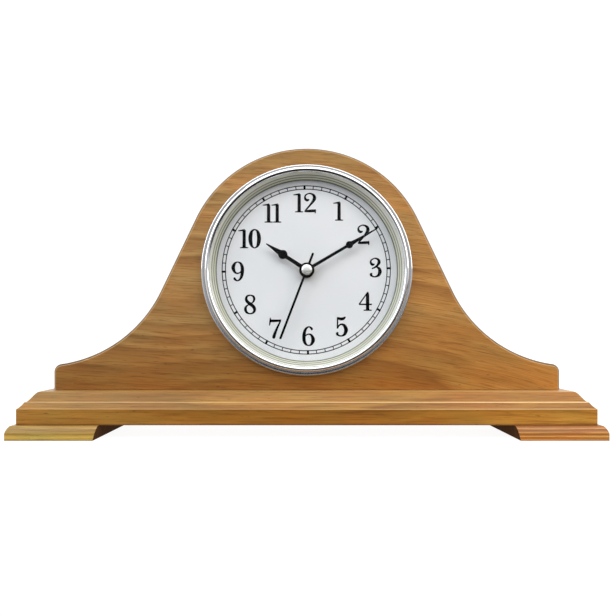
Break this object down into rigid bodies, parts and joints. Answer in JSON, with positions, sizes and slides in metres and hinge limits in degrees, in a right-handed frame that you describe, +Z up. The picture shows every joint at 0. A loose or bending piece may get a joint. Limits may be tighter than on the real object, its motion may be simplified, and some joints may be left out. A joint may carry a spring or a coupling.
{
  "type": "wooden mantel clock",
  "caption": "Mantel clock with a hump-shaped wooden case on a moulded base with runner feet, a round dial under a bezel and glass, and a battery movement that turns the hands.",
  "frame": {"origin": "on the table, under the middle of the feet's outline", "axes": "+Z up, +X to the right seen from the front, the front faces -Y"},
  "size_m": [0.43, 0.084, 0.218],
  "materials": {
    "case_wood": "semi-gloss lacquer over horizontal grain",
    "base_wood": "semi-gloss lacquer over horizontal grain",
    "screw_steel": "zinc plated",
    "bezel_chrome": "polished plating",
    "cap_chrome": "polished plating",
    "clear_glass": "polished, domed",
    "sight_metal": "satin, pale champagne",
    "dial_white": "matt white with printed tracks and numerals",
    "hand_black": "semi-gloss black",
    "housing_plastic": "moulded, fine texture",
    "gear_plastic": "moulded acetal",
    "washer_rubber": "matt",
    "nut_brass": "turned",
    "magnet_steel": "satin",
    "coil_copper": "enamelled copper wire",
    "board_green": "solder mask",
    "contact_steel": "nickel plated",
    "cell_sleeve": "plain printed sleeve on a steel can"
  },
  "bodies": {
    "case": {"foot_left": "base_wood", "foot_right": "base_wood", "base_board": "base_wood", "case_body": "case_wood", "case_screw_1": "screw_steel", "case_screw_2": "screw_steel", "case_screw_3": "screw_steel", "case_screw_4": "screw_steel", "foot_screw_1": "screw_steel", "foot_screw_2": "screw_steel", "foot_screw_3": "screw_steel", "foot_screw_4": "screw_steel", "bezel_ring": "bezel_chrome", "dial_glass": "clear_glass", "sight_ring": "sight_metal", "dial_plate": "dial_white", "dial_screw_1": "screw_steel", "dial_screw_2": "screw_steel", "dial_screw_3": "screw_steel", "dial_screw_4": "screw_steel", "movement_housing": "housing_plastic", "movement_cover": "housing_plastic", "middle_plate": "gear_plastic", "rubber_washer": "washer_rubber", "brass_washer": "nut_brass", "hex_nut": "nut_brass", "stator": "magnet_steel", "coil_core": "magnet_steel", "coil": "coil_copper", "circuit_board": "board_green", "quartz_crystal": "magnet_steel", "battery_contact_minus": "contact_steel", "battery_contact_plus": "contact_steel", "battery_cell": "cell_sleeve"},
    "seconds": {"seconds_wheel": "gear_plastic", "second_hand": "hand_black", "hand_cap": "cap_chrome"},
    "intermediate": {"intermediate_wheel": "gear_plastic"},
    "motor_rotor": {"rotor": "magnet_steel"},
    "third": {"third_wheel": "gear_plastic"},
    "centre": {"centre_wheel": "gear_plastic"},
    "minutes": {"minute_pipe": "gear_plastic", "minute_hand": "hand_black"},
    "motion": {"motion_wheel": "gear_plastic"},
    "hours": {"hour_wheel": "gear_plastic", "hour_hand": "hand_black"},
    "setter": {"setting_knob": "gear_plastic"}
  },
  "joints": [
    {"name": "seconds_turn", "type": "hinge", "parent": "case", "child": "seconds", "pos_m": [0, -0.012, 0.1246], "axis": [0, 1, 0], "continuous": true},
    {"name": "intermediate_turn", "type": "hinge", "parent": "case", "child": "intermediate", "pos_m": [0.00778, 0.003, 0.12743], "axis": [0, 1, 0], "continuous": true},
    {"name": "rotor_turn", "type": "hinge", "parent": "case", "child": "motor_rotor", "pos_m": [0.01564, 0.003, 0.12882], "axis": [0, 1, 0], "continuous": true},
    {"name": "third_turn", "type": "hinge", "parent": "case", "child": "third", "pos_m": [-0.01052, 0.001, 0.13068], "axis": [0, 1, 0], "continuous": true},
    {"name": "centre_turn", "type": "hinge", "parent": "case", "child": "centre", "pos_m": [0, -0.002, 0.1246], "axis": [0, 1, 0], "continuous": true},
    {"name": "minute_turn", "type": "hinge", "parent": "case", "child": "minutes", "pos_m": [0, -0.01, 0.1246], "axis": [0, 1, 0], "continuous": true},
    {"name": "motion_turn", "type": "hinge", "parent": "case", "child": "motion", "pos_m": [0, -0.004, 0.1366], "axis": [0, 1, 0], "continuous": true},
    {"name": "hour_turn", "type": "hinge", "parent": "case", "child": "hours", "pos_m": [0, -0.008, 0.1246], "axis": [0, 1, 0], "continuous": true},
    {"name": "setter_turn", "type": "hinge", "parent": "case", "child": "setter", "pos_m": [0.00848, 0.006, 0.14508], "axis": [0, 1, 0], "continuous": true}
  ],
  "couplings": [
    {"joint": "intermediate_turn", "follows": "seconds_turn", "ratio": -5},
    {"joint": "rotor_turn", "follows": "seconds_turn", "ratio": 30},
    {"joint": "third_turn", "follows": "seconds_turn", "ratio": -0.125},
    {"joint": "centre_turn", "follows": "seconds_turn", "ratio": 0.016667},
    {"joint": "motion_turn", "follows": "minute_turn", "ratio": -0.33333},
    {"joint": "hour_turn", "follows": "minute_turn", "ratio": 0.083333},
    {"joint": "setter_turn", "follows": "minute_turn", "ratio": 1}
  ]
}
